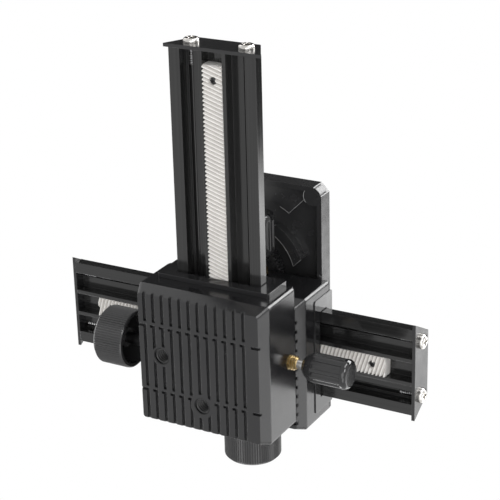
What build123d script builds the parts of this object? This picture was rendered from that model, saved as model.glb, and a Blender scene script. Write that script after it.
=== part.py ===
from build123d import *
import math
import os

# Macro focusing rail: two identical rack-and-pinion slides stacked at right angles.
# Millimetres, +Z up. The origin is the centre of the ribbed base face of the lower block.
# A slide unit is drawn in its own frame: X across the rail, Y along the rail, Z up from
# the ribbed face. Its focusing knob is on the +X side and its locking knob on the -X side.
os.makedirs("parts", exist_ok=True)

# Shared clearances and overrun of every cut
overrun = 1.0
sliding_gap = 0.3
running_gap = 0.05
seat_gap = 0.1

# Block: the housing of one slide unit
block_across = 59.0
block_along = 60.0
block_height = 26.5
bevel_across = 2.2
bevel_along = 2.25
bevel_height = 5.4
block_corner = 1.2
floor_thickness = 5.4
side_wall = 6.0
end_wall = 3.5
window_floor = 14.0

# Ribbed face: three rows of grooves with an angled head on the second and third rows
groove_pitch = 4.11
groove_count = 12
groove_first = 24.4
groove_width = 1.5
groove_depth = 1.0
dash_width = 1.2
dash_reach = 2.5
row_one_end = 15.8
row_two_start = 14.6
row_two_end = -13.0
row_three_start = -14.0

# Tripod sockets, 1/4 inch thread drawn at its nominal radius
socket_radius = 3.175
socket_depth = 8.0
socket_boss_radius = 6.0
socket_boss_height = 9.4
socket_rim_one = 4.4
socket_rim_two = 5.2
socket_one = (17.2, 1.6)
socket_two = (-0.9, -16.8)

# Rail extrusion, measured from its front face, which looks at the ribbed face
rail_length = 162.2
rail_front = 18.1
rail_depth = 11.7
rail_half_width = 19.1
rail_back_half_width = 14.0
rail_lip = 4.5
channel_depth = 4.9
rack_channel_width = 8.8
channel_rib = 1.55
outer_channel_width = 8.3
port_inset = 2.1
port_sink = 0.9

# End plates and their screws
plate_thickness = 1.4
plate_rear_overhang = 1.1
plate_side_overhang = 2.3
plate_back_overhang = 0.4
end_screw_radius = 1.25
end_screw_length = 9.0
end_head_radius = 3.2
end_head_height = 1.9
head_round_share = 0.6
recess_width = 1.0
recess_length = 3.6
recess_depth = 1.0

# Rack and pinion, with a helix across the face
tooth_pitch = 1.69
tooth_height = 1.1
tooth_tip_share = 0.26
tooth_root_share = 0.30
helix_angle = 17.0
rack_width = 8.6
rack_proud = 0.4
rack_end_room = 22.9
lower_rack_offset = 5.1
upper_rack_offset = 11.2
rack_screw_inset = 6.3
rack_screw_radius = 1.0
rack_head_radius = 1.5
rack_head_height = 1.4
rack_head_sink = 1.0
pinion_teeth = 22
pinion_width = 8.0
pinion_slices = 10
pinion_backlash = 0.16
mesh_gap = 0.15

# Shaft, its bush, post and clip
shaft_radius = 2.5
shaft_tail = 13.6
post_width = 5.0
post_depth = 9.0
post_inner = 8.0
post_cap = 3.0
bush_radius = 4.0
bush_flange_radius = 5.5
bush_flange = 1.5
clip_radius = 4.0
clip_thickness = 0.8
clip_mouth = 3.2

# Focusing knob, a knurled cup that is open toward the block
knob_radius = 12.2
knob_length = 13.8
knob_stand_off = 7.7
knob_ridges = 72
knob_ridge_height = 0.35
knob_wall = 1.8
knob_web = 3.2
knob_edge = 1.2
hub_radius = 4.2
hub_recess = 4.0

# Locking knob, its screw, threaded bush and brake shoe
lock_height = 22.0
lock_along = -0.5
lock_radius = 6.15
lock_length = 20.6
lock_stand_off = 6.5
lock_taper_length = 4.8
lock_neck_radius = 3.0
lock_cap = 2.6
lock_dome = 2.0
lock_flutes = 12
flute_radius = 1.3
flute_depth = 0.6
lock_screw_radius = 1.8
lock_screw_grip = 10.0
lock_bush_radius = 3.0
lock_bush_root_radius = 2.6
lock_bush_length = 9.0
lock_bush_stand_off = 4.7
lock_bush_rings = 4
shoe_thickness = 2.5
shoe_length = 12.0
shoe_height = 5.2

# Guide liner with end flanges and a back frame
guide_bottom = 15.8
guide_frame = 0.8
frame_margin = 1.0
guide_spine = 1.7
spine_half_width = 24.0
flange_thickness = 1.9
flange_half_width = 25.4
flange_bottom = 12.6
flange_corner = 1.0
mouth_front = 17.2
lip_reach = 4.0
guide_screw_radius = 1.2
guide_screw_length = 7.0
guide_head_radius = 2.3
guide_head_height = 1.1
guide_screw_along = 22.0

# Screws that hold the upper block on the lower rail, and the camera plate on the upper rail
fixing_radius = 1.8
fixing_head_radius = 2.2
fixing_head_height = 2.0
fixing_across = 8.35
fixing_grip = 4.0
block_fixing_along = 18.0
plate_fixing_along = 14.0

# Rest places of the two rails, measured from the centre of their block
lower_rest = 43.6
upper_rest = 10.0

# Camera plate, pad, screw and thumbwheel
camera_plate_across = 70.0
camera_plate_along = 86.0
camera_plate_height = 7.5
camera_plate_corner = 3.6
camera_plate_wall = 2.2
camera_plate_skin = 2.0
camera_screw_shift = 25.0
land_height = 2.4
land_circle = 34.0
arm_half_width = 9.0
arm_shift = 2.5
ring_outer = 26.6
ring_inner = 21.9
ring_height = 4.4
corner_boss_radius = 4.0
saddle_length = 40.0
pad_thickness = 1.2
pad_margin = 3.5
pad_hole_radius = 5.5
camera_screw_radius = 3.175
camera_neck_radius = 2.5
camera_thread_length = 5.2
camera_thread_rise = 0.3
camera_screw_gap = 0.3
wheel_radius = 15.2
wheel_thickness = 4.2
wheel_ridges = 60
wheel_ridge_height = 0.4
wheel_drop = 0.6

# Places worked out from the sizes above
cavity_half = block_across / 2 - side_wall
rail_back = rail_front + rail_depth
rail_floor = rail_front + channel_depth
rail_back_wall = rail_back - rail_floor
outer_channel = rack_channel_width / 2 + channel_rib
outer_channel_end = outer_channel + outer_channel_width
port_across = outer_channel_end - port_inset
port_height = rail_floor + port_sink
rack_front = rail_front - rack_proud
rack_thickness = rail_floor - rack_front
rack_length = rail_length - rack_end_room
guide_top = block_height + guide_spine
guide_screw_seat = block_height + guide_frame
flange_face = block_along / 2 + flange_thickness
pitch_radius = pinion_teeth * tooth_pitch / (2 * math.pi)
pitch_plane = rack_front + tooth_height / 2
shaft_height = pitch_plane - pitch_radius
knob_inner = block_across / 2 + knob_stand_off
knob_outer = knob_inner + knob_length
lock_inner = block_across / 2 + lock_stand_off
lock_outer = lock_inner + lock_length
shoe_face = rail_half_width + sliding_gap
shoe_back = shoe_face + shoe_thickness
helix_slope = math.tan(math.radians(helix_angle))

# The upper unit stands on the back of the lower rail, flush with the rail's near end
upper_origin_along = lower_rest - rail_length / 2 + block_across / 2
plate_bottom = rail_back + rail_back
plate_top = plate_bottom + camera_plate_height
skin_bottom = plate_top - camera_plate_skin
camera_thread_start = plate_top + pad_thickness + camera_thread_rise
lower_unit = Location((0, 0, 0))
upper_unit = Location((0, upper_origin_along, rail_back), (0, 0, -90))
lower_rail_place = lower_unit * Location((0, lower_rest, 0))
upper_rail_place = upper_unit * Location((0, upper_rest, 0))
camera_axis = (upper_rest, upper_origin_along + camera_screw_shift)
top_unit = Location((camera_axis[0], camera_axis[1], 0))


def hand_over(piece, name, place):
    """Place a finished piece, name it and write its file."""
    placed = piece.moved(place)
    placed.label = name
    export_step(placed, f"parts/{name}.step")
    return placed


def groove_rows():
    """Lower and upper end of each row of grooves along Y."""
    edge = block_along / 2 + overrun
    return [(row_one_end, edge), (row_two_end, row_two_start), (-edge, row_three_start)]


def make_block(fixing_places):
    """Housing: bevelled tray with ribbed face, sockets, shaft post and side bores."""
    with BuildPart() as block:
        with BuildSketch(Plane.XY):
            RectangleRounded(block_across - 2 * bevel_across, block_along - 2 * bevel_along, block_corner)
        with BuildSketch(Plane.XY.offset(bevel_height)):
            RectangleRounded(block_across, block_along, block_corner)
        loft(ruled=True)
        with BuildSketch(Plane.XY.offset(bevel_height)):
            RectangleRounded(block_across, block_along, block_corner)
        extrude(amount=block_height - bevel_height)
        with BuildSketch(Plane.XY.offset(floor_thickness)):
            Rectangle(2 * cavity_half, block_along - 2 * end_wall)
        extrude(amount=block_height, mode=Mode.SUBTRACT)
        with BuildSketch(Plane.XY.offset(window_floor)):
            Rectangle(2 * cavity_half, block_along + 2 * overrun)
        extrude(amount=block_height, mode=Mode.SUBTRACT)
        with BuildSketch(Plane.XY.offset(floor_thickness)):
            with Locations(socket_one, socket_two):
                Circle(socket_boss_radius)
        extrude(amount=socket_boss_height - floor_thickness)
        with BuildSketch(Plane.XY.offset(floor_thickness)):
            with Locations((-post_inner - post_width / 2, 0)):
                Rectangle(post_width, post_depth)
        extrude(amount=shaft_height + post_cap - floor_thickness)
        with BuildSketch(Plane.XY):
            for index in range(groove_count):
                across = groove_first - index * groove_pitch
                for low, high in groove_rows():
                    with Locations((across, (low + high) / 2)):
                        Rectangle(groove_width, high - low)
            for index in range(groove_count + 1):
                across = groove_first - index * groove_pitch + groove_width / 2
                reach = block_across / 2 if index == 0 else across - groove_width + dash_reach
                inner = across - groove_width if index < groove_count else -block_across / 2
                outer = reach if index < groove_count else across
                for row in (row_two_start, row_three_start):
                    with Locations(((inner + outer) / 2, row - dash_width / 2)):
                        Rectangle(outer - inner, dash_width)
            with Locations(socket_one):
                Circle(socket_rim_one, mode=Mode.SUBTRACT)
            with Locations(socket_two):
                Circle(socket_rim_two, mode=Mode.SUBTRACT)
        extrude(amount=groove_depth, mode=Mode.SUBTRACT)
        with BuildSketch(Plane.XY):
            with Locations(socket_one, socket_two):
                Circle(socket_radius)
        extrude(amount=socket_depth, mode=Mode.SUBTRACT)
        if fixing_places:
            with BuildSketch(Plane.XY):
                with Locations(*fixing_places):
                    Circle(fixing_radius + running_gap)
            extrude(amount=fixing_grip + seat_gap, mode=Mode.SUBTRACT)
        with BuildSketch(Plane.YZ.offset(cavity_half - overrun)):
            with Locations((0, shaft_height)):
                Circle(bush_radius)
        extrude(amount=side_wall + 2 * overrun, mode=Mode.SUBTRACT)
        with BuildSketch(Plane.YZ.offset(-post_inner - post_width - overrun)):
            with Locations((0, shaft_height)):
                Circle(shaft_radius + running_gap)
        extrude(amount=post_width + 2 * overrun, mode=Mode.SUBTRACT)
        with BuildSketch(Plane.YZ.offset(-block_across / 2 - overrun)):
            with Locations((lock_along, lock_height)):
                Circle(lock_bush_radius)
        extrude(amount=side_wall + 2 * overrun, mode=Mode.SUBTRACT)
        with BuildSketch(Plane.XY.offset(block_height - guide_screw_length)):
            with GridLocations(2 * guide_screw_across(), 2 * guide_screw_along, 2, 2):
                Circle(guide_screw_radius + running_gap)
        extrude(amount=guide_screw_length + overrun, mode=Mode.SUBTRACT)
    return block.part


def guide_screw_across():
    """Guide screws run down the middle of the side walls."""
    return block_across / 2 - side_wall / 2


def rail_outline(gap):
    """Outer section of the rail in X and Z, grown sideways by a gap."""
    half = rail_half_width + gap
    back = rail_back_half_width + gap
    lip = rail_front + rail_lip
    return [(half, rail_front), (half, lip), (back, rail_back),
            (-back, rail_back), (-half, lip), (-half, rail_front)]


def make_guide():
    """Liner that the rail runs in: two jaws, a back frame and a flange at each end."""
    with BuildPart() as guide:
        with BuildSketch(Plane.XZ):
            with Locations((0, (guide_bottom + block_height) / 2)):
                Rectangle(2 * (cavity_half - seat_gap), block_height - guide_bottom)
        extrude(amount=block_along / 2, both=True)
        with BuildSketch(Plane.XY.offset(block_height)):
            Rectangle(block_across - 2 * frame_margin, block_along)
        extrude(amount=guide_frame)
        with BuildSketch(Plane.XY.offset(block_height)):
            Rectangle(2 * spine_half_width, block_along)
        extrude(amount=guide_spine)
        for side in (1, -1):
            with BuildSketch(Plane.XZ.offset(side * block_along / 2)):
                with Locations((0, (flange_bottom + guide_top) / 2)):
                    RectangleRounded(2 * flange_half_width, guide_top - flange_bottom, flange_corner)
            extrude(amount=side * flange_thickness)
        with BuildSketch(Plane.XZ):
            with BuildLine():
                Polyline(*rail_outline(sliding_gap), close=True)
            make_face()
            with Locations((0, rail_front)):
                Rectangle(2 * (rail_half_width + sliding_gap), 2 * sliding_gap)
        extrude(amount=flange_face + overrun, both=True, mode=Mode.SUBTRACT)
        with BuildSketch(Plane.XZ):
            with Locations((0, (guide_bottom - overrun + rail_floor) / 2)):
                Rectangle(2 * (rail_half_width - lip_reach), rail_floor - guide_bottom + overrun)
        extrude(amount=flange_face - flange_thickness - end_wall, both=True, mode=Mode.SUBTRACT)
        for side in (1, -1):
            with BuildSketch(Plane.XZ.offset(side * (flange_face - flange_thickness - end_wall))):
                with Locations((0, (mouth_front + rail_floor) / 2)):
                    Rectangle(2 * (rail_half_width + sliding_gap), rail_floor - mouth_front)
            extrude(amount=side * (end_wall + flange_thickness + overrun), mode=Mode.SUBTRACT)
        with BuildSketch(Plane.XY.offset(block_height - overrun)):
            with GridLocations(2 * guide_screw_across(), 2 * guide_screw_along, 2, 2):
                Circle(guide_screw_radius + running_gap)
        extrude(amount=guide_frame + 2 * overrun, mode=Mode.SUBTRACT)
        with BuildSketch(Plane.XY.offset(guide_bottom - overrun)):
            with Locations((-(shoe_face + cavity_half) / 2, lock_along)):
                Rectangle(cavity_half - rail_half_width + lip_reach, shoe_length + 2 * seat_gap)
        extrude(amount=lock_height + shoe_height / 2 + seat_gap - guide_bottom + overrun, mode=Mode.SUBTRACT)
    return guide.part


def make_pan_screws(places, shank_radius, shank_length, head_radius, head_height):
    """Screws with domed heads up, their seats at Z zero, and a cross recess in each head."""
    long_side = recess_length * head_radius / end_head_radius
    short_side = recess_width * head_radius / end_head_radius
    with BuildPart() as screws:
        with BuildSketch(Plane.XY.offset(-shank_length)):
            with Locations(*places):
                Circle(shank_radius)
        extrude(amount=shank_length)
        with BuildSketch(Plane.XY):
            with Locations(*places):
                Circle(head_radius)
        extrude(amount=head_height)
        rims = screws.edges().filter_by(GeomType.CIRCLE).group_by(Axis.Z)[-1]
        fillet(rims, radius=head_height * head_round_share)
        with BuildSketch(Plane.XY.offset(head_height)):
            with Locations(*places):
                Rectangle(long_side, short_side)
                Rectangle(short_side, long_side)
        extrude(amount=-min(recess_depth, head_height / 2), mode=Mode.SUBTRACT)
    return screws.part


def make_rail(fixing_places, rack_ends):
    """Extruded rail with three channels, dovetail sides and two screw ports open to the channel floors."""
    with BuildPart() as rail:
        with BuildSketch(Plane.XZ):
            with BuildLine():
                Polyline(*rail_outline(0), close=True)
            make_face()
            channel_middle = (rail_front + rail_floor) / 2
            with Locations((outer_channel + outer_channel_width / 2, channel_middle),
                           (-outer_channel - outer_channel_width / 2, channel_middle)):
                Rectangle(outer_channel_width, rail_floor - rail_front, mode=Mode.SUBTRACT)
            with Locations((0, channel_middle)):
                Rectangle(rack_channel_width, rail_floor - rail_front, mode=Mode.SUBTRACT)
            with Locations((port_across, port_height), (-port_across, port_height)):
                Circle(end_screw_radius + running_gap, mode=Mode.SUBTRACT)
        extrude(amount=rail_length / 2, both=True)
        with BuildSketch(Plane.XY.offset(rail_floor - overrun)):
            with Locations(*fixing_places):
                Circle(fixing_radius + running_gap)
        extrude(amount=rail_back_wall + 2 * overrun, mode=Mode.SUBTRACT)
        with BuildSketch(Plane.XY.offset(rail_floor - overrun)):
            with Locations(*rack_ends):
                Circle(rack_screw_radius + running_gap)
        extrude(amount=rail_back_wall + 2 * overrun, mode=Mode.SUBTRACT)
    return rail.part


def rack_section(start, end):
    """Comb outline in Y and Z with a tooth space on every whole pitch from the pinion axis."""
    root = rack_front + tooth_height
    tip_half = tooth_tip_share * tooth_pitch / 2
    root_half = tooth_pitch / 2 - tooth_root_share * tooth_pitch / 2
    first = math.floor(start / tooth_pitch) - 1
    last = math.ceil(end / tooth_pitch) + 1
    points = [((first - 1) * tooth_pitch, rail_floor), ((first - 1) * tooth_pitch, root)]
    for index in range(first, last):
        centre = (index + 1 / 2) * tooth_pitch
        points.append((centre - root_half, root))
        points.append((centre - tip_half, rack_front))
        points.append((centre + tip_half, rack_front))
        points.append((centre + root_half, root))
    points.append(((last + 1) * tooth_pitch, root))
    points.append(((last + 1) * tooth_pitch, rail_floor))
    return points


def make_rack(start, end):
    """Helical rack between two places along the rail, in the unit's frame."""
    lean = Vector(1, helix_slope, 0).normalized()
    cut_width = rack_width + 2 * overrun
    with BuildPart() as rack:
        with BuildSketch(Plane.YZ.offset(-cut_width / 2)):
            with BuildLine():
                shift = -cut_width / 2 * helix_slope
                Polyline(*[(along + shift, up) for along, up in rack_section(start, end)], close=True)
            make_face()
        extrude(amount=cut_width / lean.X, dir=lean)
        with Locations((0, (start + end) / 2, (rack_front + rail_floor) / 2)):
            Box(rack_width, end - start, rack_thickness, mode=Mode.INTERSECT)
        with BuildSketch(Plane.XY.offset(rack_front - overrun)):
            with Locations((0, start + rack_screw_inset), (0, end - rack_screw_inset)):
                Circle(rack_head_radius + running_gap)
        extrude(amount=overrun + rack_head_sink + rack_head_height, mode=Mode.SUBTRACT)
        with BuildSketch(Plane.XY.offset(rack_front)):
            with Locations((0, start + rack_screw_inset), (0, end - rack_screw_inset)):
                Circle(rack_screw_radius + running_gap)
        extrude(amount=rack_thickness + overrun, mode=Mode.SUBTRACT)
    return rack.part


def make_end_plate(inner_face, direction):
    """Trapezoid cover on one end of the rail, drilled for its two screws."""
    with BuildPart() as plate:
        with BuildSketch(Plane.XZ.offset(-inner_face)):
            with BuildLine():
                Polyline((rail_half_width + plate_side_overhang, rail_front),
                         (rail_back_half_width + plate_back_overhang, rail_back + plate_rear_overhang),
                         (-rail_back_half_width - plate_back_overhang, rail_back + plate_rear_overhang),
                         (-rail_half_width - plate_side_overhang, rail_front),
                         close=True)
            make_face()
            with Locations((port_across, port_height), (-port_across, port_height)):
                Circle(end_screw_radius + running_gap, mode=Mode.SUBTRACT)
        extrude(amount=-direction * plate_thickness)
    return plate.part


def make_pinion():
    """Helical pinion whose top tooth stands in the rack space above the shaft."""
    tip = pitch_radius + tooth_height / 2 - mesh_gap
    root = pitch_radius - tooth_height / 2 - mesh_gap
    step = 2 * math.pi / pinion_teeth
    thin = pinion_backlash / pitch_radius
    tip_half = step * tooth_tip_share / 2 - thin / 2
    root_half = step * (1 - tooth_root_share) / 2 - thin
    with BuildPart() as pinion:
        for number in range(pinion_slices + 1):
            place = pinion_width * (number / pinion_slices - 1 / 2)
            with BuildSketch(Plane.YZ.offset(place)):
                with BuildLine():
                    points = []
                    for index in range(pinion_teeth):
                        middle = math.pi / 2 + index * step - place * helix_slope / pitch_radius
                        for radius, angle in ((root, middle - root_half), (tip, middle - tip_half),
                                              (tip, middle + tip_half), (root, middle + root_half)):
                            points.append((radius * math.cos(angle), shaft_height + radius * math.sin(angle)))
                    Polyline(*points, close=True)
                make_face()
        loft(ruled=True)
        with BuildSketch(Plane.YZ.offset(-pinion_width)):
            with Locations((0, shaft_height)):
                Circle(shaft_radius)
        extrude(amount=2 * pinion_width, mode=Mode.SUBTRACT)
    return pinion.part


def make_shaft():
    """Plain steel shaft from the post to the knob's web."""
    with BuildPart() as shaft:
        with BuildSketch(Plane.YZ.offset(-shaft_tail)):
            with Locations((0, shaft_height)):
                Circle(shaft_radius)
        extrude(amount=shaft_tail + knob_outer - knob_web)
    return shaft.part


def make_clip():
    """Spring clip on the shaft beside the post."""
    with BuildPart() as clip:
        with BuildSketch(Plane.YZ.offset(-post_inner + seat_gap)):
            with Locations((0, shaft_height)):
                Circle(clip_radius)
                Circle(shaft_radius, mode=Mode.SUBTRACT)
            with Locations((0, shaft_height - clip_radius)):
                Rectangle(clip_mouth, 2 * clip_radius, mode=Mode.SUBTRACT)
        extrude(amount=clip_thickness)
    return clip.part


def make_bush():
    """Flanged bush of the focusing shaft in the side wall."""
    with BuildPart() as bush:
        with BuildSketch(Plane.YZ.offset(cavity_half)):
            with Locations((0, shaft_height)):
                Circle(bush_radius)
        extrude(amount=side_wall)
        with BuildSketch(Plane.YZ.offset(block_across / 2)):
            with Locations((0, shaft_height)):
                Circle(bush_flange_radius)
        extrude(amount=bush_flange)
        with BuildSketch(Plane.YZ.offset(cavity_half - overrun)):
            with Locations((0, shaft_height)):
                Circle(shaft_radius + running_gap)
        extrude(amount=side_wall + bush_flange + 2 * overrun, mode=Mode.SUBTRACT)
    return bush.part


def ridge_points(radius, height, count, centre):
    """Saw-tooth circle used for knurled rims."""
    points = []
    for index in range(2 * count):
        angle = math.pi * index / count
        reach = radius - height * (index % 2)
        points.append((reach * math.cos(angle), centre + reach * math.sin(angle)))
    return points


def make_focus_knob():
    """Knurled cup with its hub and an open side toward the block."""
    with BuildPart() as knob:
        with BuildSketch(Plane.YZ.offset(knob_inner)):
            with BuildLine():
                Polyline(*ridge_points(knob_radius, knob_ridge_height, knob_ridges, shaft_height), close=True)
            make_face()
        extrude(amount=knob_length)
        with BuildSketch(Plane.XZ):
            with BuildLine():
                Polyline((knob_inner, shaft_height),
                         (knob_inner, shaft_height + knob_radius - knob_edge / 2),
                         (knob_inner + knob_edge / 2, shaft_height + knob_radius),
                         (knob_outer - knob_edge, shaft_height + knob_radius),
                         (knob_outer, shaft_height + knob_radius - knob_edge),
                         (knob_outer, shaft_height), close=True)
            make_face()
        revolve(axis=Axis((0, 0, shaft_height), (1, 0, 0)), mode=Mode.INTERSECT)
        with BuildSketch(Plane.YZ.offset(knob_inner - overrun)):
            with Locations((0, shaft_height)):
                Circle(knob_radius - knob_wall)
        extrude(amount=knob_length - knob_web + overrun, mode=Mode.SUBTRACT)
        with BuildSketch(Plane.YZ.offset(knob_inner + hub_recess)):
            with Locations((0, shaft_height)):
                Circle(hub_radius)
        extrude(amount=knob_length - knob_web - hub_recess)
        with BuildSketch(Plane.YZ.offset(knob_inner)):
            with Locations((0, shaft_height)):
                Circle(shaft_radius)
        extrude(amount=knob_length - knob_web, mode=Mode.SUBTRACT)
    return knob.part


def make_lock_knob():
    """Fluted grip with a tapered neck and a smooth rounded cap."""
    with BuildPart() as knob:
        with BuildSketch(Plane.XZ):
            with BuildLine():
                rim = lock_height + lock_radius
                Polyline((-lock_inner, lock_height),
                         (-lock_inner, lock_height + lock_neck_radius),
                         (-lock_inner - lock_taper_length, rim),
                         (-lock_outer + lock_dome, rim))
                RadiusArc((-lock_outer + lock_dome, rim), (-lock_outer, rim - lock_dome), lock_dome)
                Polyline((-lock_outer, rim - lock_dome), (-lock_outer, lock_height), (-lock_inner, lock_height))
            make_face()
        revolve(axis=Axis((0, 0, lock_height), (1, 0, 0)))
        with BuildSketch(Plane.YZ.offset(-lock_inner + overrun)):
            with Locations((0, lock_height)):
                with PolarLocations(lock_radius + flute_radius - flute_depth, lock_flutes):
                    Circle(flute_radius)
        extrude(amount=-(lock_length - lock_cap + overrun), mode=Mode.SUBTRACT)
        with BuildSketch(Plane.YZ.offset(-lock_inner + overrun)):
            with Locations((0, lock_height)):
                Circle(lock_screw_radius)
        extrude(amount=-(lock_screw_grip + overrun), mode=Mode.SUBTRACT)
    return knob.part


def make_lock_screw():
    """Steel screw from the brake shoe to the middle of the locking knob."""
    tip = shoe_back + seat_gap
    with BuildPart() as screw:
        with BuildSketch(Plane.YZ.offset(-tip)):
            with Locations((0, lock_height)):
                Circle(lock_screw_radius)
        extrude(amount=-(lock_inner + lock_screw_grip - tip))
    return screw.part


def make_lock_bush():
    """Threaded brass bush, drawn with rings, that stands out of the side wall."""
    outer = block_across / 2 + lock_bush_stand_off
    inner = outer - lock_bush_length
    ring = lock_bush_stand_off / lock_bush_rings
    with BuildPart() as bush:
        with BuildSketch(Plane.XZ):
            with BuildLine():
                base = lock_height + lock_bush_radius
                root = lock_height + lock_bush_root_radius
                bore = lock_height + lock_screw_radius + running_gap
                points = [(-inner, bore), (-inner, base), (-block_across / 2, base)]
                for index in range(lock_bush_rings):
                    start = block_across / 2 + index * ring
                    points.append((-start - ring / 4, base))
                    points.append((-start - ring / 2, root))
                    points.append((-start - ring, root if index < lock_bush_rings - 1 else base))
                points.append((-outer, bore))
                Polyline(*points, close=True)
            make_face()
        revolve(axis=Axis((0, 0, lock_height), (1, 0, 0)))
    return bush.part


def make_shoe():
    """Brake shoe between the locking screw and the side of the rail."""
    with BuildPart() as shoe:
        with BuildSketch(Plane.YZ.offset(-shoe_face)):
            with Locations((0, lock_height)):
                RectangleRounded(shoe_length, shoe_height, seat_gap + running_gap)
        extrude(amount=-shoe_thickness)
    return shoe.part


def make_fixings(places):
    """Screws seated on the floor of the rail's channels, with their points up."""
    with BuildPart() as fixings:
        with BuildSketch(Plane.XY.offset(rail_floor)):
            with Locations(*places):
                Circle(fixing_radius)
        extrude(amount=rail_back_wall + fixing_grip)
        with BuildSketch(Plane.XY.offset(rail_floor)):
            with Locations(*places):
                Circle(fixing_head_radius)
        extrude(amount=-fixing_head_height)
    return fixings.part


def make_camera_plate(fixing_places):
    """Hollow platform with corner bosses, side lands, ring and saddle for the rail."""
    wheel_room = wheel_radius + sliding_gap + running_gap
    with BuildPart() as plate:
        with BuildSketch(Plane.XY.offset(plate_bottom)) as outline:
            Rectangle(camera_plate_across, camera_plate_along)
            chamfer(outline.vertices(), length=camera_plate_corner)
        extrude(amount=camera_plate_height)
        with BuildSketch(Plane.XY.offset(plate_bottom)) as hollow:
            Rectangle(camera_plate_across - 2 * camera_plate_wall, camera_plate_along - 2 * camera_plate_wall)
            chamfer(hollow.vertices(), length=camera_plate_corner)
        extrude(amount=camera_plate_height - camera_plate_skin, mode=Mode.SUBTRACT)
        with BuildSketch(Plane.XY.offset(skin_bottom - land_height)):
            Rectangle(camera_plate_across - camera_plate_wall, camera_plate_along - camera_plate_wall)
            Circle(land_circle, mode=Mode.SUBTRACT)
            with Locations((0, -arm_shift)):
                for turn in (45, -45):
                    Rectangle(2 * camera_plate_along, 2 * arm_half_width, rotation=turn, mode=Mode.SUBTRACT)
        extrude(amount=land_height)
        with BuildSketch(Plane.XY.offset(skin_bottom - ring_height)):
            with Locations((0, -arm_shift)):
                for turn in (45, -45):
                    Rectangle(2 * camera_plate_along, 2 * arm_half_width, rotation=turn)
            Circle(ring_outer, mode=Mode.INTERSECT)
            Circle(ring_inner, mode=Mode.SUBTRACT)
        extrude(amount=ring_height)
        with BuildSketch(Plane.XY.offset(plate_bottom)):
            inset = 2 * (camera_plate_wall + corner_boss_radius / 2)
            with GridLocations(camera_plate_across - inset, camera_plate_along - inset, 2, 2):
                Circle(corner_boss_radius)
        extrude(amount=skin_bottom - plate_bottom)
        with BuildSketch(Plane.XY.offset(plate_bottom)):
            with Locations((0, -camera_screw_shift)):
                Rectangle(saddle_length, 2 * rail_back_half_width)
            Circle(wheel_room, mode=Mode.SUBTRACT)
        extrude(amount=skin_bottom - plate_bottom)
        with BuildSketch(Plane.XY.offset(skin_bottom - overrun)):
            Circle(camera_screw_radius + camera_screw_gap)
        extrude(amount=camera_plate_skin + 2 * overrun, mode=Mode.SUBTRACT)
        with BuildSketch(Plane.XY.offset(plate_bottom)):
            with Locations(*fixing_places):
                Circle(fixing_radius + running_gap)
        extrude(amount=fixing_grip + seat_gap, mode=Mode.SUBTRACT)
    return plate.part


def make_camera_pad():
    """Rubber pad on the platform, open round the camera screw."""
    with BuildPart() as pad:
        with BuildSketch(Plane.XY.offset(plate_top)):
            RectangleRounded(camera_plate_across - 2 * pad_margin,
                             camera_plate_along - 2 * pad_margin, pad_margin)
            Circle(pad_hole_radius, mode=Mode.SUBTRACT)
        extrude(amount=pad_thickness)
    return pad.part


def make_thumbwheel():
    """Knurled wheel that turns the camera screw under the platform."""
    with BuildPart() as wheel:
        with BuildSketch(Plane.XY.offset(plate_bottom + wheel_drop)):
            with BuildLine():
                Polyline(*ridge_points(wheel_radius, wheel_ridge_height, wheel_ridges, 0), close=True)
            make_face()
            Circle(camera_neck_radius, mode=Mode.SUBTRACT)
        extrude(amount=wheel_thickness)
    return wheel.part


def make_camera_screw():
    """Camera screw with a thin neck in the platform, its thread drawn plain at the nominal radius."""
    with BuildPart() as screw:
        with BuildSketch(Plane.XY.offset(plate_bottom + wheel_drop)):
            Circle(camera_neck_radius)
        extrude(amount=camera_thread_start - plate_bottom - wheel_drop)
        with BuildSketch(Plane.XY.offset(camera_thread_start)):
            Circle(camera_screw_radius)
        extrude(amount=camera_thread_length)
    return screw.part


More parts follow.
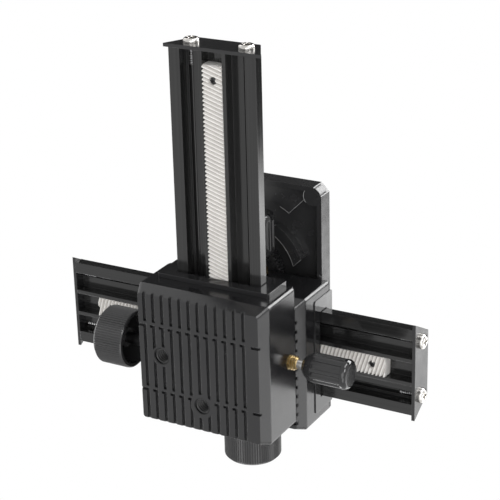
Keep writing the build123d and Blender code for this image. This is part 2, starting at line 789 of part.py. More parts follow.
def make_unit(prefix, unit, rest, rack_offset, rail_fixings, base_fixings):
    """Build and write every piece of one slide unit."""
    rail_place = unit * Location((0, rest, 0))
    rail_end = rest + rail_length / 2
    rack_end = rail_end - rack_offset
    rack_start = rack_end - rack_length
    rack_screws = [(0, rack_end - rack_screw_inset), (0, rack_start + rack_screw_inset)]
    rack_screws_on_rail = [(across, along - rest) for across, along in rack_screws]
    hand_over(make_block(base_fixings), prefix + "_block", unit)
    hand_over(make_guide(), prefix + "_guide", unit)
    guide_places = [(x * guide_screw_across(), y * guide_screw_along) for x in (1, -1) for y in (1, -1)]
    guide_screws = make_pan_screws(guide_places, guide_screw_radius, guide_screw_length - seat_gap,
                                   guide_head_radius, guide_head_height)
    hand_over(guide_screws, prefix + "_guide_screws", unit * Location((0, 0, guide_screw_seat)))
    hand_over(make_rail(rail_fixings, rack_screws_on_rail), prefix + "_rail", rail_place)
    hand_over(make_rack(rack_start, rack_end), prefix + "_rack", unit)
    flip = Location((0, 0, rack_front + rack_head_sink + rack_head_height), (180, 0, 0))
    flipped_places = [(across, -along) for across, along in rack_screws]
    rack_shank = rail_back - rack_front - rack_head_sink - rack_head_height - seat_gap
    rack_screw_group = make_pan_screws(flipped_places, rack_screw_radius, rack_shank,
                                       rack_head_radius, rack_head_height)
    hand_over(rack_screw_group, prefix + "_rack_screws", unit * flip)
    hand_over(make_end_plate(rail_length / 2, 1), prefix + "_end_plate_far", rail_place)
    hand_over(make_end_plate(-rail_length / 2, -1), prefix + "_end_plate_near", rail_place)
    for name, sign, tilt in (("far", 1, -90), ("near", -1, 90)):
        places = [(port_across, -sign * port_height), (-port_across, -sign * port_height)]
        screws = make_pan_screws(places, end_screw_radius, end_screw_length, end_head_radius, end_head_height)
        turn = Location((0, sign * (rail_length / 2 + plate_thickness), 0), (tilt, 0, 0))
        hand_over(screws, f"{prefix}_end_screws_{name}", rail_place * turn)
    hand_over(make_pinion(), prefix + "_pinion", unit)
    hand_over(make_shaft(), prefix + "_focus_shaft", unit)
    hand_over(make_clip(), prefix + "_shaft_clip", unit)
    hand_over(make_bush(), prefix + "_shaft_bush", unit)
    hand_over(make_focus_knob(), prefix + "_focus_knob", unit)
    lock_place = unit * Location((0, lock_along, 0))
    hand_over(make_lock_knob(), prefix + "_lock_knob", lock_place)
    hand_over(make_lock_screw(), prefix + "_lock_screw", lock_place)
    hand_over(make_lock_bush(), prefix + "_lock_bush", lock_place)
    hand_over(make_shoe(), prefix + "_brake_shoe", lock_place)
    return rail_place


# Screw places: the upper block on the lower rail, and the platform on the upper rail
block_centre_on_rail = block_across / 2 - rail_length / 2
block_fixings = [(x * fixing_across, block_centre_on_rail + y * block_fixing_along)
                 for x in (1, -1) for y in (1, -1)]
base_fixings = [(-y * block_fixing_along, x * fixing_across) for x in (1, -1) for y in (1, -1)]
plate_fixings = [(x * fixing_across, y * plate_fixing_along) for x in (1, -1) for y in (1, -1)]
plate_fixings_on_plate = [(y, -camera_screw_shift - x) for x, y in plate_fixings]

make_unit("lower", lower_unit, lower_rest, lower_rack_offset, block_fixings, [])
make_unit("upper", upper_unit, upper_rest, upper_rack_offset, plate_fixings, base_fixings)
hand_over(make_fixings(block_fixings), "block_screws", lower_rail_place)
hand_over(make_fixings(plate_fixings), "plate_screws", upper_rail_place)
hand_over(make_camera_plate(plate_fixings_on_plate), "camera_plate", top_unit)
hand_over(make_camera_pad(), "camera_pad", top_unit)
hand_over(make_thumbwheel(), "thumbwheel", top_unit)
hand_over(make_camera_screw(), "camera_screw", top_unit)
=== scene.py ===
import math

import bpy
from mathutils import Matrix, Vector


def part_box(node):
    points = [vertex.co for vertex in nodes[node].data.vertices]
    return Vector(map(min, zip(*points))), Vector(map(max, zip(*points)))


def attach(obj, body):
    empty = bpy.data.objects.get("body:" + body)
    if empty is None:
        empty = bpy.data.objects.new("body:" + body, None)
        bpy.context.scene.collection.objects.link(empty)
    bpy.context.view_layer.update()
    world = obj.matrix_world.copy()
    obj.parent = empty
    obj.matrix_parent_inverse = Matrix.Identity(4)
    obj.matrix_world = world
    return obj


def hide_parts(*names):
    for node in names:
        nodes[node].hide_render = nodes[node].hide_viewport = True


# Looks of the macro focusing rail. Metres, in the part's own frame: the ribbed base lies at z = 0
# and faces down, and the camera platform is on top. The photograph looks up at the ribbed base.
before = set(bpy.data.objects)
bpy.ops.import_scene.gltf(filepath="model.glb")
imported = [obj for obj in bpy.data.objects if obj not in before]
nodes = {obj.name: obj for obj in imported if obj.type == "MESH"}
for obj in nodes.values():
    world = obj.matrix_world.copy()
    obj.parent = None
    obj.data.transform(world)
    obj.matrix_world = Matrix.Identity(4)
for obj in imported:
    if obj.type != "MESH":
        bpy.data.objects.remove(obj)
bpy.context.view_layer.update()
scene = bpy.context.scene
scene.view_settings.view_transform = "Standard"

# Shapes, grain depths and edge radii are written in millimetres
MM = 0.001

# The two slide units: the body that carries each block, the body of its rail, and the turn of the
# unit about Z. Along a unit's Y runs its rail, and its locking knob is on the -X side. The rail's
# axis is the one it has in the part's frame.
UNITS = {
    "lower": {"carrier": "base", "slide": "lower_slide", "turn": 0, "rail_axis": "Y"},
    "upper": {"carrier": "lower_slide", "slide": "upper_slide", "turn": -90, "rail_axis": "X"},
}

# Shader values that the finishes share. Below the rib height, the block's edges have a radius of
# their own, and above the blend they have their full one.
PLASTIC_IOR = 1.5
NOISE_RANGE = (0.3, 0.7)
LINE_DEPTH = 0.004
RIB_HEIGHT, RIB_BLEND = 1.1, 0.2


def grey(level, blue=0.0):
    """A grey, with a little more blue if wanted."""
    return (level, level, level + blue)


class Shader:
    """A material with its output and main shader, and short ways to add nodes."""

    SOCKETS = {"rough": "Roughness", "metal": "Metallic", "ior": "IOR", "color": "Base Color",
               "normal": "Normal", "specular": "Specular IOR Level"}

    def __init__(self, name):
        self.material = bpy.data.materials.new(name)
        self.material.use_nodes = True
        self.tree = self.material.node_tree
        self.tree.nodes.clear()
        self.out = self.add("ShaderNodeOutputMaterial")
        self.principled = self.add("ShaderNodeBsdfPrincipled")
        self.link(self.principled.outputs[0], self.out.inputs["Surface"])
        self.place = self.add("ShaderNodeTexCoord").outputs["Object"]

    def add(self, kind, **values):
        """Add a node and set its own properties."""
        node = self.tree.nodes.new(kind)
        for key, value in values.items():
            setattr(node, key, value)
        return node

    def link(self, start, end):
        self.tree.links.new(start, end)

    def noise(self, scale, detail, vector=None, rough=0.5):
        node = self.add("ShaderNodeTexNoise")
        node.inputs["Scale"].default_value = scale
        node.inputs["Detail"].default_value = detail
        node.inputs["Roughness"].default_value = rough
        self.link(vector or self.place, node.inputs["Vector"])
        return node.outputs["Fac"]

    def lines(self, scales, detail):
        """Noise with a scale for each axis: a low one draws it out into lines along that axis."""
        node = self.add("ShaderNodeMapping")
        node.inputs["Scale"].default_value = scales
        self.link(self.place, node.inputs["Vector"])
        return self.noise(1.0, detail, node.outputs[0], rough=0.6)

    def cells(self, scale):
        node = self.add("ShaderNodeTexVoronoi", feature="F1")
        node.inputs["Scale"].default_value = scale
        self.link(self.place, node.inputs["Vector"])
        return node.outputs["Distance"]

    def ramp(self, value, low, high, start=0.0, end=1.0):
        """Map a value between low and high to one between start and end."""
        node = self.add("ShaderNodeMapRange")
        node.inputs["From Min"].default_value = low
        node.inputs["From Max"].default_value = high
        node.inputs["To Min"].default_value = start
        node.inputs["To Max"].default_value = end
        self.link(value, node.inputs["Value"])
        return node.outputs["Result"]

    def spread(self, noise, start, end):
        """Map the usual range of a noise to one between start and end."""
        return self.ramp(noise, *NOISE_RANGE, start, end)

    def mix(self, factor, first, second):
        """Mix two colours, each a tuple or a socket."""
        node = self.add("ShaderNodeMix", data_type="RGBA")
        self.link(factor, node.inputs["Factor"])
        for index, value in ((6, first), (7, second)):
            if isinstance(value, tuple):
                node.inputs[index].default_value = (*value, 1)
            else:
                self.link(value, node.inputs[index])
        return node.outputs[2]

    def tone(self, noise, dark, light):
        """A colour that a noise moves between dark and light."""
        return self.mix(self.ramp(noise, *NOISE_RANGE), dark, light)

    def maths(self, kind, first, second):
        """Join two values, each a number or a socket."""
        node = self.add("ShaderNodeMath", operation=kind)
        for socket, value in zip(node.inputs, (first, second)):
            if isinstance(value, (int, float)):
                socket.default_value = value
            else:
                self.link(value, socket)
        return node.outputs[0]

    def bump(self, height, distance, after, strength=0.5):
        """Bend a normal by a height."""
        node = self.add("ShaderNodeBump")
        node.inputs["Distance"].default_value = distance * MM
        node.inputs["Strength"].default_value = strength
        self.link(height, node.inputs["Height"])
        self.link(after, node.inputs["Normal"])
        return node.outputs[0]

    def part(self, vector, axis):
        """One part of a vector, by its letter."""
        node = self.add("ShaderNodeSeparateXYZ")
        self.link(vector, node.inputs[0])
        return node.outputs[axis]

    def round_edges(self, radius, rib_radius=None):
        """Rounded shading of edges, with another radius on the ribs at the block's face."""
        node = self.add("ShaderNodeBevel", samples=6)
        node.inputs["Radius"].default_value = radius * MM
        if rib_radius is not None:
            height = self.part(self.place, "Z")
            blend_end = (RIB_HEIGHT + RIB_BLEND) * MM
            varied = self.ramp(height, RIB_HEIGHT * MM, blend_end, rib_radius * MM, radius * MM)
            self.link(varied, node.inputs["Radius"])
        return node.outputs[0]

    def set(self, **values):
        """Set sockets of the main shader, each to a number, a colour or another socket."""
        for key, value in values.items():
            socket = self.principled.inputs[self.SOCKETS[key]]
            if isinstance(value, tuple):
                socket.default_value = (*value, 1)
            elif isinstance(value, (int, float)):
                socket.default_value = value
            else:
                self.link(value, socket)


def moulded(name, dark, light, rough, grain, edge, streaks=0.0, rib_edge=None):
    """Moulded plastic: faint flow marks, fine grain, a few specks and rounded edges."""
    s = Shader(name)
    body = s.tone(s.noise(scale=28, detail=4), dark, light)
    specks = s.ramp(s.cells(scale=260), low=0.03, high=0.05, start=1.0, end=0.0)
    patches = s.ramp(s.noise(scale=70, detail=1), low=0.62, high=0.66)
    s.set(color=s.mix(s.maths("MULTIPLY", specks, patches), body, grey(0.16)), ior=PLASTIC_IOR)
    s.set(rough=s.spread(s.noise(scale=160, detail=5), rough * 0.85, rough * 1.2))
    ripple = s.bump(s.noise(scale=55, detail=2), distance=0.02, after=s.round_edges(edge, rib_edge))
    lined = s.bump(s.lines((1700, 90, 1700), detail=2), distance=LINE_DEPTH + streaks, after=ripple)
    s.set(normal=s.bump(s.noise(scale=2600, detail=2), distance=grain, after=lined))
    return s.material


def anodised(name, axis):
    """Black anodised extrusion: die lines along the rail under a glossy film."""
    s = Shader(name)
    scales = {"X": (5, 1100, 1100), "Y": (1100, 5, 1100)}[axis]
    die_lines = s.lines(scales, detail=3)
    s.set(color=s.tone(die_lines, grey(0.014), grey(0.022)), ior=PLASTIC_IOR)
    s.set(rough=s.spread(die_lines, 0.08, 0.15))
    s.set(normal=s.bump(die_lines, distance=LINE_DEPTH, after=s.round_edges(radius=0.22), strength=0.4))
    return s.material


def metal(name, dark, light, rough, edge=0.12, inside=None):
    """Machined or plated metal: cloudy tone, fine lines and soft edges, with painted shade (a flat dark grey)
    within a stretch of one axis.
    """
    s = Shader(name)
    color = s.tone(s.noise(scale=420, detail=4), dark, light)
    if inside:
        axis, low, high = inside
        # Painted shade: a flat dark grey along the stretch of the axis that lies inside the rail
        spot = s.part(s.place, axis)
        rail_shade_mask = s.maths("MULTIPLY", s.maths("GREATER_THAN", spot, low), s.maths("LESS_THAN", spot, high))
        color = s.mix(rail_shade_mask, color, grey(0.07))
    s.set(color=color, metal=1.0)
    fine = s.lines((900, 900, 900), detail=3)
    s.set(rough=s.spread(fine, rough * 0.8, rough * 1.25))
    s.set(normal=s.bump(fine, distance=LINE_DEPTH, after=s.round_edges(edge)))
    return s.material


def rack_metal(name, crest):
    """Pale cast rack: warm white in blotches, with painted shade (a darker grey) on the downward faces above
    its crests' height, between its teeth.
    """
    s = Shader(name)
    pale = s.tone(s.noise(scale=260, detail=4), (0.86, 0.835, 0.805), (0.94, 0.92, 0.89))
    # Painted shade between the teeth: faces that point down, above the crests' height, are mixed to a darker
    # grey
    shade_start, shade_end = crest + 0.25 * MM, crest + 1.1 * MM
    tooth_gap_shade = s.ramp(s.part(s.place, "Z"), shade_start, shade_end)
    normal = s.add("ShaderNodeNewGeometry").outputs["Normal"]
    facing_down = s.ramp(s.part(normal, "Z"), low=-0.5, high=-0.2, start=1.0, end=0.0)
    s.set(color=s.mix(s.maths("MULTIPLY", tooth_gap_shade, facing_down), pale, (0.50, 0.48, 0.46)))
    s.set(rough=s.spread(s.noise(scale=400, detail=3), 0.3, 0.45))
    s.set(normal=s.bump(s.noise(scale=900, detail=3), distance=0.01, after=s.round_edges(radius=0.04)))
    return s.material


def textured(name, dark, light, rough, scale, depth):
    """Coarse moulded texture, as on a thumbwheel or a rubber pad."""
    s = Shader(name)
    cells = s.cells(scale)
    s.set(color=s.mix(s.ramp(cells, low=0.0, high=0.7), light, dark), ior=PLASTIC_IOR)
    s.set(rough=s.spread(s.noise(scale=300, detail=3), rough * 0.85, rough * 1.15))
    s.set(normal=s.bump(cells, distance=depth, after=s.round_edges(radius=0.2), strength=0.8))
    return s.material


# Finishes, by the name under which a piece asks for one
black_dark, black_light = grey(0.014, 0.001), grey(0.021, 0.001)
finishes = {
    "block": moulded("block_plastic", grey(0.009, 0.001), grey(0.014, 0.001), rough=0.21, grain=0.008,
                     edge=0.9, streaks=0.006, rib_edge=0.15),
    "guide": moulded("guide_plastic", black_dark, black_light, rough=0.14, grain=0.004, edge=0.25),
    "knob": moulded("knob_plastic", grey(0.026, 0.001), grey(0.034, 0.001), rough=0.24, grain=0.006,
                    edge=0.08),
    "lock": moulded("lock_plastic", grey(0.018, 0.001), grey(0.026, 0.001), rough=0.2, grain=0.004,
                    edge=0.2),
    "cap": moulded("cap_plastic", black_dark, black_light, rough=0.06, grain=0.001, edge=0.15),
    "end_plate": moulded("end_plate_paint", black_dark, black_light, rough=0.22, grain=0.006, edge=0.15),
    "platform": moulded("platform_plastic", grey(0.026, 0.001), grey(0.036, 0.001), rough=0.24,
                        grain=0.006, edge=0.15),
    # Light grey of the platform's edge beads: a painted edge highlight
    "edge": moulded("edge_highlight_paint", grey(0.20), grey(0.34), rough=0.2, grain=0.002, edge=0.05),
    "socket": moulded("socket_plastic", grey(0.012), grey(0.02), rough=0.2, grain=0.002, edge=0.02),
    "shoe": moulded("shoe_nylon", (0.62, 0.62, 0.58), (0.7, 0.7, 0.66), rough=0.45, grain=0.004, edge=0.2),
    "bright_steel": metal("bright_steel", grey(0.52), grey(0.66), rough=0.32),
    "steel": metal("plain_steel", (0.55, 0.55, 0.56), (0.70, 0.70, 0.71), rough=0.2),
    "dark_steel": metal("dark_steel", (0.05, 0.05, 0.052), (0.09, 0.09, 0.092), rough=0.35),
    "brass": metal("brass", (0.17, 0.12, 0.05), (0.38, 0.285, 0.135), rough=0.3, edge=0.04),
    "pad": textured("pad_rubber", grey(0.012), grey(0.022), rough=0.75, scale=900, depth=0.12),
    "wheel": textured("wheel_texture", grey(0.016, 0.001), grey(0.05, 0.001), rough=0.3, scale=1100,
                      depth=0.3),
    "rail_X": anodised("rail_film_x", "X"),
    "rail_Y": anodised("rail_film_y", "Y"),
}

# The finish of each CAD node: those that occur once, then those of each unit
chosen = {
    "block_screws": "dark_steel", "plate_screws": "dark_steel", "camera_plate": "platform",
    "camera_pad": "pad", "thumbwheel": "wheel", "camera_screw": "steel",
}
unit_kinds = {
    "block": "block", "guide": "guide", "guide_screws": "steel", "rack_screws": "dark_steel",
    "end_plate_far": "end_plate", "end_plate_near": "end_plate", "pinion": "brass",
    "focus_shaft": "dark_steel", "shaft_clip": "dark_steel", "shaft_bush": "socket",
    "focus_knob": "knob", "lock_knob": "lock", "lock_screw": "bright_steel", "lock_bush": "brass",
    "brake_shoe": "shoe",
}
for unit, facts in UNITS.items():
    rack_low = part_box(unit + "_rack")[0]
    finishes[unit + "_rack"] = rack_metal(unit + "_rack_pale", rack_low.z)
    rail_axis = facts["rail_axis"]
    rail_span = [corner["XY".index(rail_axis)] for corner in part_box(unit + "_rail")]
    # The end screws' chrome gets painted shade along the rail's span, where the screws lie inside the rail
    finishes[unit + "_chrome"] = metal(unit + "_screw_chrome", (0.50, 0.485, 0.46), (0.66, 0.645, 0.62),
                                       rough=0.14, edge=0.25, inside=(rail_axis, *rail_span))
    for part, kind in unit_kinds.items():
        chosen[f"{unit}_{part}"] = kind
    chosen[unit + "_rail"] = "rail_" + rail_axis
    chosen[unit + "_rack"] = unit + "_rack"
    chosen[unit + "_end_screws_far"] = unit + "_chrome"
    chosen[unit + "_end_screws_near"] = unit + "_chrome"


def dress(piece, kind):
    """Give a piece its finish on every material slot."""
    materials = piece.data.materials
    if not materials:
        materials.append(finishes[kind])
    for index in range(len(materials)):
        materials[index] = finishes[kind]


for name, kind in chosen.items():
    dress(nodes[name], kind)


# Detail pieces
def add_piece(mesh, kind, body):
    """Link a mesh as a piece of the same name that rides on a body and takes its finish from a slot."""
    piece = bpy.data.objects.new(mesh.name, mesh)
    scene.collection.objects.link(piece)
    dress(piece, kind)
    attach(piece, body)
    return piece


def unit_place(unit):
    """Where a unit's own frame stands: its block's middle, at the ribbed face."""
    low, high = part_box(unit + "_block")
    middle = Vector(((low.x + high.x) / 2, (low.y + high.y) / 2, low.z))
    return Matrix.Translation(middle) @ Matrix.Rotation(math.radians(UNITS[unit]["turn"]), 4, "Z")


def unit_ends(unit, node):
    """How far a node of a unit reaches along the unit's Y, lowest first."""
    back = unit_place(unit).inverted()
    return sorted((back @ corner / MM).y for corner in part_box(f"{unit}_{node}"))


def aimed(point, direction):
    """A frame at a point, with its Z axis along a direction."""
    turn = Vector(direction).to_track_quat("Z", "Y").to_matrix().to_4x4()
    return Matrix.Translation(Vector(point) * MM) @ turn


def further(place, distance):
    """A frame moved along its own Z axis."""
    return place @ Matrix.Translation((0, 0, distance * MM))


def swept_mesh(name, rows, place, closed=False, smooth=True):
    """Skin rows of points, each row a closed ring, in a frame.

    The first and last rows are capped, or joined to each other where the sweep is closed.
    """
    count = len(rows[0])
    points = [place @ (Vector(point) * MM) for row in rows for point in row]
    faces = []
    for step in range(len(rows) if closed else len(rows) - 1):
        here = step * count
        there = (step + 1) % len(rows) * count
        for index in range(count):
            after = (index + 1) % count
            faces.append((here + index, here + after, there + after, there + index))
    if not closed:
        faces.append(tuple(range(count))[::-1])
        faces.append(tuple(range((len(rows) - 1) * count, len(rows) * count)))
    mesh = bpy.data.meshes.new(name)
    mesh.from_pydata(points, [], faces)
    mesh.validate()
    if smooth:
        mesh.shade_smooth()
    else:
        mesh.shade_flat()
    return mesh


def ring_point(radius, angle, up):
    """A point on a circle round the Z axis."""
    return (radius * math.cos(angle), radius * math.sin(angle), up)


def lathe_mesh(name, outline, place, level=0.0, steps=72):
    """Turn a closed outline of (radius, height) points round a frame's Z axis, its heights above a level."""
    rows = []
    for step in range(steps):
        angle = 2 * math.pi * step / steps
        rows.append([ring_point(radius, angle, level + up) for radius, up in outline])
    mesh = swept_mesh(name, rows, place, closed=True)
    mesh.set_sharp_from_angle(angle=math.radians(35))
    return mesh


def thread_mesh(name, place, root, crest, pitch, length, share, steps):
    """A helical ridge of triangular section from its root radius to its crest radius.

    The ridge takes up twice its share of the pitch at the root, and each turn has a number of steps.
    """
    rows = []
    half = share * pitch
    for step in range(int(length / pitch * steps) + 1):
        angle = 2 * math.pi * step / steps
        up = pitch * step / steps
        rows.append([ring_point(root, angle, up - half), ring_point(crest, angle, up),
                     ring_point(root, angle, up + half)])
    return swept_mesh(name, rows, place, smooth=False)


# Guides: a copy of each whose flange at the near end is a thin lip
flange_lip = 0.4


def lipped_guide(unit):
    """A unit's guide with its near flange drawn in to a thin lip outside the block."""
    place = unit_place(unit)
    back = place.inverted()
    lip_end = unit_ends(unit, "block")[0] - flange_lip
    mesh = nodes[unit + "_guide"].data.copy()
    mesh.name = unit + "_guide_liner"
    for vertex in mesh.vertices:
        spot = back @ vertex.co / MM
        spot.y = max(spot.y, lip_end)
        vertex.co = place @ (spot * MM)
    return mesh


for unit, facts in UNITS.items():
    liner = add_piece(lipped_guide(unit), "guide", facts["carrier"])
    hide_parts(unit + "_guide")

# Tripod sockets: thread turns and a raised rim round each. Heights go into the block.
socket_spots = ((17.2, 1.6), (-0.9, -16.8))
socket_radius, socket_depth, socket_inset = 3.175, 8.0, 0.8
socket_thread = {"root": socket_radius + 0.1, "crest": socket_radius - 0.5, "pitch": 1.27,
                 "length": socket_depth - 2 * socket_inset, "share": 0.24, "steps": 32}
rim_inner, rim_outer, rim_depth = 3.2, 3.65, 0.9
rim_outline = ((rim_inner, rim_depth), (rim_inner, 0.15), (rim_inner + 0.1, 0.0),
               (rim_outer - 0.15, 0.0), (rim_outer, 0.2), (rim_outer, rim_depth))
for number, (across, along) in enumerate(socket_spots):
    place = unit_place("lower") @ aimed((across, along, 0), (0, 0, 1))
    turns = thread_mesh(f"socket_thread_{number}", further(place, socket_inset), **socket_thread)
    add_piece(turns, "socket", "base")
    rim = lathe_mesh(f"socket_rim_{number}", rim_outline, place)
    add_piece(rim, "block", "base")

# Threads of the end screws, which show in the open screw ports
port_across, port_height, port_inset = 12.15, 23.9, 1.2
screw_thread = {"root": 1.15, "crest": 1.38, "pitch": 0.95, "length": 6.0, "share": 0.3, "steps": 20}
for unit, facts in UNITS.items():
    rail_near, rail_far = unit_ends(unit, "rail")
    for end, rail_end, inward in (("near", rail_near, 1), ("far", rail_far, -1)):
        for letter, side in (("b", 1), ("a", -1)):
            start = (side * port_across, rail_end + inward * port_inset, port_height)
            place = unit_place(unit) @ aimed(start, (0, inward, 0))
            turns = thread_mesh(f"{unit}_{end}_screw_thread_{letter}", place, **screw_thread)
            add_piece(turns, "steel", facts["slide"])

# Locking knobs: threaded brass bush, smooth shoulder and a glossy dished cap. Heights go out from the
# block's side for the bush, from the knob's inner end for the shoulder and from its outer end for the cap.
lock_along, lock_height, block_side = -0.5, 22.0, 29.5
knob_start, knob_length = 6.5, 20.6
bush_bore, bush_neck, bush_radius, bush_depth, bush_reach = 1.85, 2.4, 2.98, 4.0, 3.6
bush_outline = ((bush_bore, -bush_depth), (bush_radius, -bush_depth), (bush_radius, 0.15), (bush_neck, 0.3),
                (bush_neck, bush_reach - 0.3), (2.15, bush_reach), (bush_bore, bush_reach))
bush_thread_inset = 0.45
bush_thread = {"root": 2.38, "crest": 3.0, "pitch": 0.95, "length": bush_reach - 0.95, "share": 0.46,
               "steps": 32}
shoulder_outline = ((1.9, -0.05), (2.6, -0.05), (3.6, 0.5), (4.8, 1.7), (5.7, 3.4), (6.17, 5.6), (5.4, 5.6),
                    (1.9, 3.0))
cap_outline = ((3.0, -2.7), (6.0, -2.7), (6.25, -2.55), (6.25, -2.0), (6.1, -1.3), (5.8, -0.75),
               (5.3, -0.3), (4.75, -0.03), (4.3, 0.05), (4.0, -0.08), (3.7, -0.3), (2.0, -0.2),
               (0.01, -0.15), (0.01, -2.7))
for unit, facts in UNITS.items():
    axis = unit_place(unit) @ aimed((-block_side, lock_along, lock_height), (-1, 0, 0))
    bush = add_piece(lathe_mesh(unit + "_lock_bush_body", bush_outline, axis), "brass", facts["carrier"])
    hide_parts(unit + "_lock_bush")
    turns = thread_mesh(unit + "_lock_bush_thread", further(axis, bush_thread_inset), **bush_thread)
    add_piece(turns, "brass", facts["carrier"])
    shoulder = lathe_mesh(unit + "_lock_shoulder", shoulder_outline, axis, knob_start)
    add_piece(shoulder, "knob", unit + "_lock")
    cap = lathe_mesh(unit + "_lock_cap", cap_outline, axis, knob_start + knob_length, steps=96)
    add_piece(cap, "cap", unit + "_lock")

# Platform underside: thin light-grey beads along the edges of its ring, corner bosses and lands, which paint
# edge highlights. Quarters and arms count from the corner toward +X and +Y.
plate_low, plate_high = (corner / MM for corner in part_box("camera_plate"))
middle = (plate_low + plate_high) / 2
arm_shift, arm_half = 2.5, 9.0
arm_middle = Vector((middle.x, middle.y - arm_shift))
ring_inner, ring_outer, land_circle = 21.9, 26.6, 34.0
plate_skin, ring_height, land_height, bead_radius = 2.0, 4.4, 2.4, 0.16
boss_radius, boss_inset, boss_start, boss_end = 4.0, 4.2, 0.1, 1.5
land_reach, land_sweep = 12.0, 0.14
boss_level = plate_low.z + bead_radius / 2
ring_level = plate_high.z - plate_skin - ring_height + bead_radius / 2
land_level = plate_high.z - plate_skin - land_height + bead_radius / 2
# On which side of its arm each quarter's land edge runs
edge_swing = (1, -1, 1, -1)


def add_edge(name, points):
    """A thin round bead along points, in a light finish that paints an edge highlight, as a piece of the
    platform.
    """
    curve = bpy.data.curves.new(name + "_path", "CURVE")
    curve.dimensions = "3D"
    curve.bevel_depth = bead_radius * MM
    curve.bevel_resolution = 2
    spline = curve.splines.new("POLY")
    spline.points.add(len(points) - 1)
    for spot, point in zip(spline.points, points):
        spot.co = (*(Vector(point) * MM), 1)
    holder = bpy.data.objects.new(name + "_path", curve)
    scene.collection.objects.link(holder)
    depsgraph = bpy.context.evaluated_depsgraph_get()
    mesh = bpy.data.meshes.new_from_object(holder.evaluated_get(depsgraph))
    mesh.name = name
    bpy.data.objects.remove(holder)
    mesh.shade_smooth()
    add_piece(mesh, "edge", "upper_slide")


def on_circle(centre, radius, angle, height):
    """A point on a level circle."""
    return (centre.x + radius * math.cos(angle), centre.y + radius * math.sin(angle), height)


def arc(centre, radius, start, end, height, steps=16):
    """Points on a level circle between two angles."""
    return [on_circle(centre, radius, start + (end - start) * step / steps, height)
            for step in range(steps + 1)]


def arm_direction(quarter):
    """The direction in which an arm runs out from the middle."""
    angle = math.radians(45 + 90 * quarter)
    return Vector((math.cos(angle), math.sin(angle)))


def arm_edge(quarter, side, radius):
    """Angle round the plate's middle at which an arm's edge crosses a circle."""
    out = arm_direction(quarter)
    start = arm_middle + Vector((-out.y, out.x)) * side * arm_half - middle.xy
    reach = -start.dot(out) + math.sqrt(start.dot(out) ** 2 - start.dot(start) + radius ** 2)
    spot = start + out * reach
    return math.atan2(spot.y, spot.x) % (2 * math.pi)


def ring_edge(quarter):
    """Outline of the ring between two arms, on the ring's inner circle and up to its outer one."""
    outer_start, outer_end = (on_circle(middle, ring_outer, arm_edge(quarter, side, ring_outer), ring_level)
                              for side in (-1, 1))
    inner_start, inner_end = (arm_edge(quarter, side, ring_inner) for side in (-1, 1))
    return [outer_start] + arc(middle, ring_inner, inner_start, inner_end, ring_level) + [outer_end]


def boss_edge(quarter):
    """Arc on a corner boss, on the side away from its land edge."""
    x_side, y_side = ((1, 1), (-1, 1), (-1, -1), (1, -1))[quarter]
    boss = Vector((middle.x + x_side * ((plate_high.x - plate_low.x) / 2 - boss_inset),
                   middle.y + y_side * ((plate_high.y - plate_low.y) / 2 - boss_inset)))
    inward = math.atan2(middle.y - boss.y, middle.x - boss.x)
    swing = edge_swing[quarter]
    return arc(boss, boss_radius, inward - swing * boss_start, inward - swing * boss_end, boss_level)


def land_edge(quarter):
    """Edge of a land: in along an arm's side, then round on the land's circle."""
    swing = edge_swing[quarter]
    start = arm_edge(quarter, swing, land_circle)
    turned = arc(middle, land_circle, start, start + swing * land_sweep, land_level)
    tip = Vector(turned[0]) + arm_direction(quarter).to_3d() * land_reach
    return [tuple(tip)] + turned


for quarter in range(4):
    add_edge(f"platform_ring_edge_{quarter}", ring_edge(quarter))
    add_edge(f"platform_boss_edge_{quarter}", boss_edge(quarter))
for quarter in range(4):
    add_edge(f"platform_land_edge_{quarter}", land_edge(quarter))


# Studio
def floor_material():
    """Pale floor that carries the shadow as seen from above, and lets the view from below through."""
    s = Shader("floor_pale")
    s.set(color=s.tone(s.noise(scale=3, detail=2), grey(0.88), grey(0.90)), rough=0.9, specular=0.0)
    front = s.maths("SUBTRACT", 1.0, s.add("ShaderNodeNewGeometry").outputs["Backfacing"])
    shown = s.maths("MULTIPLY", s.add("ShaderNodeLightPath").outputs["Is Camera Ray"], front)
    mixer = s.add("ShaderNodeMixShader")
    s.link(shown, mixer.inputs[0])
    s.link(s.add("ShaderNodeBsdfTransparent").outputs[0], mixer.inputs[1])
    s.link(s.principled.outputs[0], mixer.inputs[2])
    s.link(mixer.outputs[0], s.out.inputs["Surface"])
    return s.material


def ceiling_material():
    """Dark paint of the ceiling."""
    s = Shader("ceiling_dark")
    s.set(color=s.tone(s.noise(scale=4, detail=2), grey(0.03), grey(0.04)), rough=0.9)
    return s.material


def stage_plane(name, half, height, material):
    """A level square, sizes in metres, that isn't part of the object."""
    mesh = bpy.data.meshes.new(name)
    corners = [(-half, -half, height), (half, -half, height), (half, half, height), (-half, half, height)]
    mesh.from_pydata(corners, [], [(0, 1, 2, 3)])
    mesh.materials.append(material)
    obj = bpy.data.objects.new(name, mesh)
    scene.collection.objects.link(obj)
    return obj


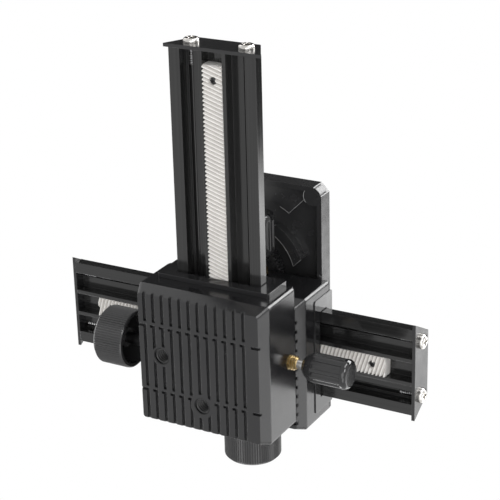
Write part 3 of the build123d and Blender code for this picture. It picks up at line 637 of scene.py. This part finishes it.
def studio_world():
    """A world that lights the object at a plain level and is white where it is seen."""
    lit_level, seen_level = 0.72, 1.0
    world = bpy.data.worlds.new("studio_world")
    world.use_nodes = True
    tree = world.node_tree
    tree.nodes.clear()
    out = tree.nodes.new("ShaderNodeOutputWorld")
    path = tree.nodes.new("ShaderNodeLightPath")
    choice = tree.nodes.new("ShaderNodeMixShader")
    for socket, level in ((1, lit_level), (2, seen_level)):
        shade = tree.nodes.new("ShaderNodeBackground")
        shade.inputs["Color"].default_value = (*grey(1), 1)
        shade.inputs["Strength"].default_value = level
        tree.links.new(shade.outputs[0], choice.inputs[socket])
    seen = path.outputs["Is Camera Ray"]
    for ray in ("Is Glossy Ray", "Is Transmission Ray"):
        larger = tree.nodes.new("ShaderNodeMath")
        larger.operation = "MAXIMUM"
        tree.links.new(seen, larger.inputs[0])
        tree.links.new(path.outputs[ray], larger.inputs[1])
        seen = larger.outputs[0]
    tree.links.new(seen, choice.inputs[0])
    tree.links.new(choice.outputs[0], out.inputs["Surface"])
    return world


def softbox(name, direction, distance, size, radiance, lights_all=False):
    """Lamp of a given brightness, sizes in metres, that looks at the object.

    A lamp that doesn't light all only shows as a highlight.
    """
    target = Vector((0, 0.02, 0.03))
    lamp = bpy.data.lights.new(name, "AREA")
    lamp.shape = "RECTANGLE"
    lamp.size, lamp.size_y = size
    lamp.energy = radiance * math.pi * lamp.size * lamp.size_y
    obj = bpy.data.objects.new(name, lamp)
    obj.location = target + Vector(direction).normalized() * distance
    obj.rotation_euler = (-Vector(direction)).to_track_quat("-Z", "Y").to_euler()
    obj.visible_camera = False
    obj.visible_diffuse = lights_all
    scene.collection.objects.link(obj)


floor_half, floor_height = 8.0, -0.4 * MM
ceiling_half, ceiling_height = 1.9, 1.5
stage_plane("floor", floor_half, floor_height, floor_material())
scene.world = studio_world()

softbox("lamp_back", (-0.44, -0.64, 0.63), distance=1.12, size=(0.95, 0.75), radiance=2.0, lights_all=True)
softbox("lamp_under", (-0.49, 0.22, -0.84), distance=1.13, size=(0.8, 0.8), radiance=2.05, lights_all=True)
softbox("lamp_far", (0.70, 0.66, 0.26), distance=1.1, size=(0.5, 0.7), radiance=0.7)
softbox("lamp_left", (-0.889, -0.378, 0.259), distance=1.0, size=(0.5, 0.5), radiance=1.2)
softbox("lamp_corner", (-0.378, 0.456, 0.806), distance=1.0, size=(0.9, 0.42), radiance=10.0)
softbox("lamp_plate", (-0.413, -0.335, 0.847), distance=1.0, size=(0.2, 0.14), radiance=2.0)
softbox("lamp_bevel", (-0.46, 0.88, 0.10), distance=1.0, size=(0.34, 0.6), radiance=8.0)
softbox("lamp_dome", (-0.8, 0.5, -0.3), distance=1.0, size=(0.34, 0.34), radiance=8.0)
softbox("lamp_rim", (0.62, -0.78, 0.0), distance=1.0, size=(1.1, 0.34), radiance=4.0)
softbox("lamp_side", (-0.65, -0.38, -0.66), distance=1.0, size=(0.5, 0.5), radiance=2.2)

# A dark ceiling that only reflections see, behind the lamps
ceiling = stage_plane("dark_ceiling", ceiling_half, ceiling_height, ceiling_material())
ceiling.visible_camera = False
ceiling.visible_diffuse = False
ceiling.visible_shadow = False

# Camera at the photograph's viewing angle
VIEW = Vector((0.455631, -0.378232, 0.805817)).normalized()
UP = Vector((0.163523, 0.925399, 0.341901))
camera_place = (-0.312908, 0.294325, -0.509459)
right = VIEW.cross(UP).normalized()
upward = right.cross(VIEW).normalized()
camera_data = bpy.data.cameras.new("camera")
camera_data.sensor_width = 36.0
camera_data.lens = 120.514
camera_data.clip_start = 0.01
camera = bpy.data.objects.new("camera", camera_data)
camera_turn = Matrix((right, upward, -VIEW)).transposed().to_4x4()
camera.matrix_world = Matrix.Translation(camera_place) @ camera_turn
scene.collection.objects.link(camera)
scene.camera = camera
